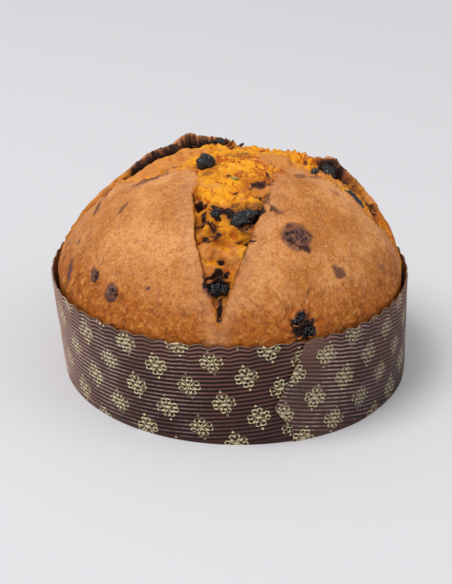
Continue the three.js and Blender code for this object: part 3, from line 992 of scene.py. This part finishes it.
# Root x, y, heading from +X, length, width, curl upwards in degrees.
shreds = [
    (-12, -47, -35, 11, 2.6, 15), (-3, -51, 170, 7, 3, 60), (-20, -40, -50, 6, 4, 30),
    (-18, -41, -60, 5, 3, 70), (-19, -55, -10, 8, 3.2, 50), (-15, -60, 20, 9, 2.6, 40),
    (-12, -66, -20, 8, 3, 65), (-5, -60, 210, 7, 2.5, 55), (-17, -66, 40, 6, 2.2, 70),
    (12, -66, 170, 8, 2.2, 25), (15, -52, 100, 7, 3, 55), (20, -47, 140, 6, 2.6, 60),
    (-12, -86, 10, 7, 3, 50), (1, -84, 190, 7, 2.6, 50), (-7, -94, 60, 5, 2.2, 60),
    (-8, 41, -30, 8, 4, 70), (-13, 39, -70, 6, 4, 60), (-4, 45, -10, 7, 3, 80),
    (-22, 36, -80, 5, 3.5, 50), (-34, 29, -60, 6, 4, 40), (-47, 21, -50, 6, 3.5, 30),
    (52, 22, 200, 7, 4, 50), (60, 22, 250, 6, 3.5, 40), (70, 14, 230, 6, 3, 35),
    (84, 4, 210, 6, 4, 70), (87, -2, 150, 5, 4, 75), (35, -93, -20, 6, 5, 60),
    (43, -89, 230, 5, 4, 60), (46, -94, 170, 6, 4, 70), (37, -97, 60, 6, 5, 60),
    (40, -90, 300, 5, 4, 80), (24, -22, 120, 9, 2.4, 30), (66, -13, 160, 10, 2, 15),
    (46, 26, 120, 6, 3, 60), (8, 60, 200, 6, 3, 50), (12, 78, 170, 6, 3, 50),
    (2, 70, 20, 6, 3, 50), (-82, 4, 80, 5, 2.5, 50),
]


def shape_shred(mesh, ground, number, shred):
    """Bends a flat strip up from its root on the loaf, ragged at its edges."""
    x, y, heading, length, width, curl = shred
    along, across = ((read_points(mesh)[:, :2] + [1, 0]) / [2, 1]).T
    root = ground[np.hypot(ground[:, 0] - rim_centre_x - x, ground[:, 1] - y).argmin()]
    bend = math.radians(curl)
    run = np.sin(bend * along) / bend * length
    rise = (1 - np.cos(bend * along)) / bend * length - root_sunk
    ragged = noise_field(first_shred_seed + number)
    spread = np.stack([along * length, across * width, 0 * along], axis=1)
    half = 0.36 * width * (1 - 0.55 * along) + 0.4 * ragged(spread, 2)
    side = across * half
    sag = 0.9 * ragged(spread + 40, 3) + 0.22 * width * across**2
    angle = math.radians(heading)
    points = np.stack([root[0] + run * math.cos(angle) - side * math.sin(angle),
                       root[1] + run * math.sin(angle) + side * math.cos(angle),
                       root[2] + rise + sag], axis=1)
    write_points(mesh, points)
    write_fields(mesh, tip=along + 0.3 * ragged(spread, 2))


def scorched_shred():
    finish = Finish("scorched_shred", Specular_IOR_Level=0.2)
    tip = finish.field("tip")
    mottled = finish.grain(0.003, 4, 0.7)
    browned = (tip + mottled * 0.8).rise(0.3, 1.1)
    char = (tip + mottled).rise(0.95, 1.5)
    colour = finish.coats(
        (0.62, 0.2, 0.03),
        ((0.2, 0.06, 0.025), browned),
        ((0.02, 0.011, 0.01), char * 0.9),
        ((0.62, 0.3, 0.14), mottled.rise(0.6, 0.75) * 0.5))
    return finish.set(Base_Color=colour, Roughness=0.55 + mottled * 0.3,
                      Normal=finish.bump(mottled, 0.0006))


ground = read_points(loaf_mesh) / mm
shred_sheets = bmesh.new()
for number, shred in enumerate(shreds):
    strip_mesh = grid_mesh(*shred_cells)
    shape_shred(strip_mesh, ground, number, shred)
    shred_sheets.from_mesh(strip_mesh)
    bpy.data.meshes.remove(strip_mesh)
bmesh.ops.solidify(shred_sheets, geom=shred_sheets.faces, thickness=shred_thickness * mm)
bmesh.ops.recalc_face_normals(shred_sheets, faces=shred_sheets.faces)
torn_shreds = make_piece("loaf_torn_shreds", finished_mesh(shred_sheets), scorched_shred())
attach(torn_shreds, "root")

# ---- Raisins ----
# Dried grapes that the heat swelled and blistered where they came through the crust:
# near-black skins in deep folds, glossy with sugar.
raisin_cuts = 7  # in every edge of the plain solid
smoothing_rounds = 6
first_raisin_seed = 200
# These still have a film of crust over them.
crusted_raisins = ("raisin_left_low", "raisin_left_small", "raisin_right_face",
                   "raisin_back_low")
# Share of the length, breadth and depth that is left, depth of the folds and their width:
# for most raisins, and for those that shrivelled or swelled in their own way.
plainly_dried = ((1, 1, 1), 0.9, 2.3)
shrivelled = {
    "raisin_crown": ((0.9, 0.95, 1.1), 1.5, 4.6),
    "raisin_split_large": ((1.1, 0.75, 0.9), 1.4, 3.2),
    "raisin_split_left": ((1.1, 0.75, 0.85), 2, 2.6),
    "raisin_split_low": ((0.85, 0.7, 0.55), 2, 2),
    "raisin_rim_upper": ((0.95, 0.5, 0.6), 2.4, 1.7),
    "raisin_rim_lower": ((0.95, 0.6, 0.6), 2.4, 1.7),
    "raisin_right_face": ((1, 0.95, 0.9), 1.6, 2),
    "raisin_lip_end": ((0.8, 0.75, 0.7), 1.6, 2),
}


def dried_fruit(name, seed, left, folds_deep, folds_wide):
    """A copy of the plain fruit solid, made fine, shrivelled and folded into wrinkles."""
    fruit = bmesh.new()
    fruit.from_mesh(bpy.data.objects[name].data)
    bmesh.ops.remove_doubles(fruit, verts=fruit.verts, dist=0.01 * mm)
    bmesh.ops.subdivide_edges(fruit, edges=fruit.edges, cuts=raisin_cuts, use_grid_fill=True)
    for _ in range(smoothing_rounds):
        bmesh.ops.smooth_vert(fruit, verts=fruit.verts, factor=0.5, use_axis_x=True,
                              use_axis_y=True, use_axis_z=True)
    bmesh.ops.recalc_face_normals(fruit, faces=fruit.faces)
    mesh = finished_mesh(fruit)
    points = read_points(mesh) / mm
    normals = np.array([vertex.normal for vertex in mesh.vertices])
    middle = points.mean(axis=0)
    axes = np.linalg.svd(points - middle, full_matrices=False)[2]
    along = (points - middle) @ axes.T
    points = middle + along * left @ axes
    folds, creases = noise_field(seed), noise_field(seed + 100)
    warped = along * [1, 0.45, 0.45]
    warped += 1.4 * np.stack([folds(points + shift, 4) for shift in (0, 9, 18)], axis=1)
    ridge = ridged(folds, warped, folds_wide) * 0.75 + ridged(creases, points, 1.2) * 0.25
    lumpy = creases(points, 5)
    write_points(mesh, points + normals * (folds_deep * (ridge - 0.15) + 0.6 * lumpy)[:, None])
    write_fields(mesh, ridge=ridge)
    return mesh


def raisin_skin():
    finish = Finish("raisin_skin", Specular_IOR_Level=0.4, Coat_Roughness=0.1)
    ridge = finish.field("ridge")
    bloom_and_sheen = finish.grain(0.0035, 3, 0.6)
    worn = finish.grain(0.0022, 3)
    # Near-black skin, its bluish bloom partly real and partly a painted blue sheen, with brownish
    # worn spots.
    colour = finish.coats(
        (0.002, 0.0018, 0.0025),
        ((0.009, 0.008, 0.011), ridge.rise(0, 1)),
        ((0.045, 0.06, 0.085), bloom_and_sheen.rise(0.55, 0.75) * 0.55),
        ((0.09, 0.03, 0.01), worn.rise(0.66, 0.78) * 0.5))
    normal = finish.bump(finish.grain(0.0008, 2, 0.5), 0.00008)
    return finish.set(Base_Color=colour, Roughness=0.14 + bloom_and_sheen * 0.3,
                      Coat_Weight=0.3 - bloom_and_sheen * 0.2, Normal=normal)


def raisin_under_crust():
    finish = Finish("raisin_under_crust", Specular_IOR_Level=0.25)
    mottled = finish.grain(0.004, 4, 0.65)
    speck = finish.grain(0.0012, 3, 0.7)
    burst = (finish.field("ridge") + mottled).rise(0.6, 0.95)
    colour = finish.coats(
        (0.022, 0.011, 0.01),
        ((0.15, 0.06, 0.045), burst),
        ((0.42, 0.17, 0.07), (mottled + speck * 0.4).rise(0.68, 0.9) * 0.6))
    normal = finish.bump(mottled, 0.0006, finish.bump(speck, 0.0002))
    return finish.set(Base_Color=colour, Roughness=0.5 + speck * 0.2, Normal=normal)


bare_skin, crusted_skin = raisin_skin(), raisin_under_crust()
for number, name in enumerate(raisin_names):
    skin = crusted_skin if name in crusted_raisins else bare_skin
    fruit_mesh = dried_fruit(name, first_raisin_seed + number, *shrivelled.get(name, plainly_dried))
    raisin = make_piece(name + "_skin", fruit_mesh, skin)
    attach(raisin, "root")
    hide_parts(name)

# ---- Candied peel ----
# A sliver of candied citron near the crown: pale green, clear with sugar. It dried like
# the raisins, but in shallow folds.
peel_seed = 300
peel_dried = ((0.75, 0.8, 0.7), 0.25, 2.3)


def clear_citron():
    finish = Finish("candied_citron", Specular_IOR_Level=0.6, Transmission_Weight=0.25, IOR=1.45)
    cloudy = finish.grain(0.002, 3, 0.6)
    colour = finish.blend((0.3, 0.24, 0.035), (0.62, 0.5, 0.15), cloudy)
    return finish.set(Base_Color=colour, Roughness=0.2 + cloudy * 0.25,
                      Normal=finish.bump(cloudy, 0.0003))


peel_mesh = dried_fruit("candied_peel", peel_seed, *peel_dried)
peel = make_piece("citron_sliver", peel_mesh, clear_citron())
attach(peel, "root")
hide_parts("candied_peel")
